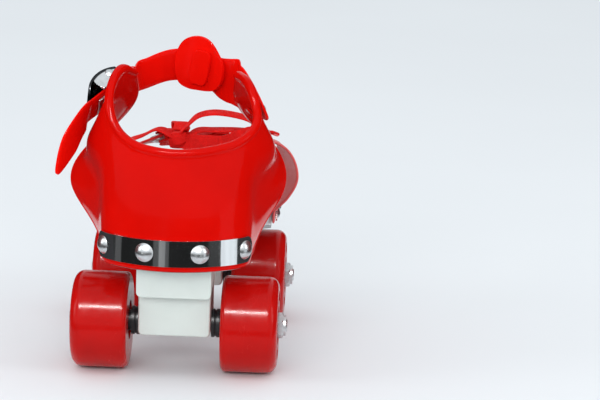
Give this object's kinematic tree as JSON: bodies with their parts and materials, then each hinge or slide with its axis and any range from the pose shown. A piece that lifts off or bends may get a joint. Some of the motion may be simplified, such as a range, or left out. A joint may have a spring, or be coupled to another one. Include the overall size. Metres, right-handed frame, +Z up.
{
  "type": "strap-on roller skate",
  "caption": "Strap-on quad roller skate with vinyl heel cup, lever-buckled ankle strap, laced toe flaps, sliding two-part steel plate and wheels on rocking plastic trucks.",
  "frame": {"origin": "top face of the heel plate, straight above the rear axle, on the middle plane", "axes": "+Y toward the toe, +X to the right, +Z up"},
  "size_m": [0.132, 0.179, 0.1786],
  "materials": {
    "red_vinyl": "smooth moulded soft vinyl, high gloss",
    "chrome": "bright plated steel strip",
    "zinc_rivet": "satin zinc-plated steel",
    "plate_steel": "zinc-plated pressed steel",
    "fastener_steel": "bright zinc-plated steel",
    "white_nylon": "cool white moulded nylon, satin",
    "black_plastic": "black moulded plastic",
    "bush_rubber": "black rubber",
    "bearing_steel": "ground bearing steel",
    "red_wheel": "hard moulded plastic, gloss",
    "red_lace": "flat woven lace",
    "lace_tip": "rolled clear plastic over red lace"
  },
  "bodies": {
    "heel_frame": {"heel_plate": "plate_steel", "heel_cup": "red_vinyl", "heel_band": "chrome", "heel_rivets": "zinc_rivet", "ankle_strap": "red_vinyl", "strap_pad": "red_vinyl", "wing_rivets": "zinc_rivet", "buckle_frame": "zinc_rivet", "buckle_pin": "zinc_rivet", "rear_truck_base": "white_nylon", "rear_truck_screws": "fastener_steel", "rear_pivot_pin": "fastener_steel"},
    "buckle_lever": {"buckle_lever": "chrome"},
    "rear_truck": {"rear_axle_block": "white_nylon", "rear_pivot_bush": "bush_rubber", "rear_axle": "fastener_steel", "rear_sleeves": "black_plastic", "rear_axle_washers": "fastener_steel", "rear_axle_nut": "fastener_steel", "rear_inner_rings": "bearing_steel", "rear_spacers": "fastener_steel"},
    "toe_frame": {"toe_plate": "plate_steel", "flap_left": "red_vinyl", "flap_right": "red_vinyl", "flap_strips": "chrome", "flap_rivets": "zinc_rivet", "eyelets": "zinc_rivet", "lace_rungs": "red_lace", "lace_knot": "red_lace", "lace_loop_left": "red_lace", "lace_loop_right": "red_lace", "lace_tail_left": "red_lace", "lace_tail_right": "red_lace", "lace_tips": "lace_tip", "adjuster_bolt": "fastener_steel", "adjuster_washer": "fastener_steel", "front_truck_base": "white_nylon", "front_truck_screws": "fastener_steel", "front_pivot_pin": "fastener_steel"},
    "wing_nut": {"adjuster_wing_nut": "fastener_steel"},
    "front_truck": {"front_axle_block": "white_nylon", "front_pivot_bush": "bush_rubber", "front_axle": "fastener_steel", "front_sleeves": "black_plastic", "front_axle_washers": "fastener_steel", "front_axle_nut": "fastener_steel", "front_inner_rings": "bearing_steel", "front_spacers": "fastener_steel"},
    "rear_left_wheel": {"rear_left_wheel": "red_wheel", "rear_left_bearings": "bearing_steel", "rear_left_balls": "bearing_steel"},
    "rear_right_wheel": {"rear_right_wheel": "red_wheel", "rear_right_bearings": "bearing_steel", "rear_right_balls": "bearing_steel"},
    "front_left_wheel": {"front_left_wheel": "red_wheel", "front_left_bearings": "bearing_steel", "front_left_balls": "bearing_steel"},
    "front_right_wheel": {"front_right_wheel": "red_wheel", "front_right_bearings": "bearing_steel", "front_right_balls": "bearing_steel"}
  },
  "joints": [
    {"name": "toe_slide", "type": "slide", "parent": "heel_frame", "child": "toe_frame", "axis": [0, 1, 0], "range_m": [0, 0.03]},
    {"name": "wing_nut_turn", "type": "hinge", "parent": "toe_frame", "child": "wing_nut", "pos_m": [0, 0.0508, -0.0095], "axis": [0, 0, 1], "continuous": true},
    {"name": "lever_open", "type": "hinge", "parent": "heel_frame", "child": "buckle_lever", "pos_m": [-0.04273, 0.02652, 0.08706], "axis": [-0.1339, 0.6344, -0.7614], "range_deg": [0, 70]},
    {"name": "rear_truck_rock", "type": "hinge", "parent": "heel_frame", "child": "rear_truck", "pos_m": [0, 0, -0.014], "axis": [0, 1, 0], "range_deg": [-5, 5], "stiffness_Nm_per_rad": 8},
    {"name": "front_truck_rock", "type": "hinge", "parent": "toe_frame", "child": "front_truck", "pos_m": [0, 0.11, -0.014], "axis": [0, 1, 0], "range_deg": [-5, 5], "stiffness_Nm_per_rad": 8},
    {"name": "rear_left_spin", "type": "hinge", "parent": "rear_truck", "child": "rear_left_wheel", "pos_m": [-0.04155, 0, -0.04], "axis": [1, 0, 0], "continuous": true},
    {"name": "rear_right_spin", "type": "hinge", "parent": "rear_truck", "child": "rear_right_wheel", "pos_m": [0.04155, 0, -0.04], "axis": [1, 0, 0], "continuous": true},
    {"name": "front_left_spin", "type": "hinge", "parent": "front_truck", "child": "front_left_wheel", "pos_m": [-0.04155, 0.11, -0.04], "axis": [1, 0, 0], "continuous": true},
    {"name": "front_right_spin", "type": "hinge", "parent": "front_truck", "child": "front_right_wheel", "pos_m": [0.04155, 0.11, -0.04], "axis": [1, 0, 0], "continuous": true}
  ]
}
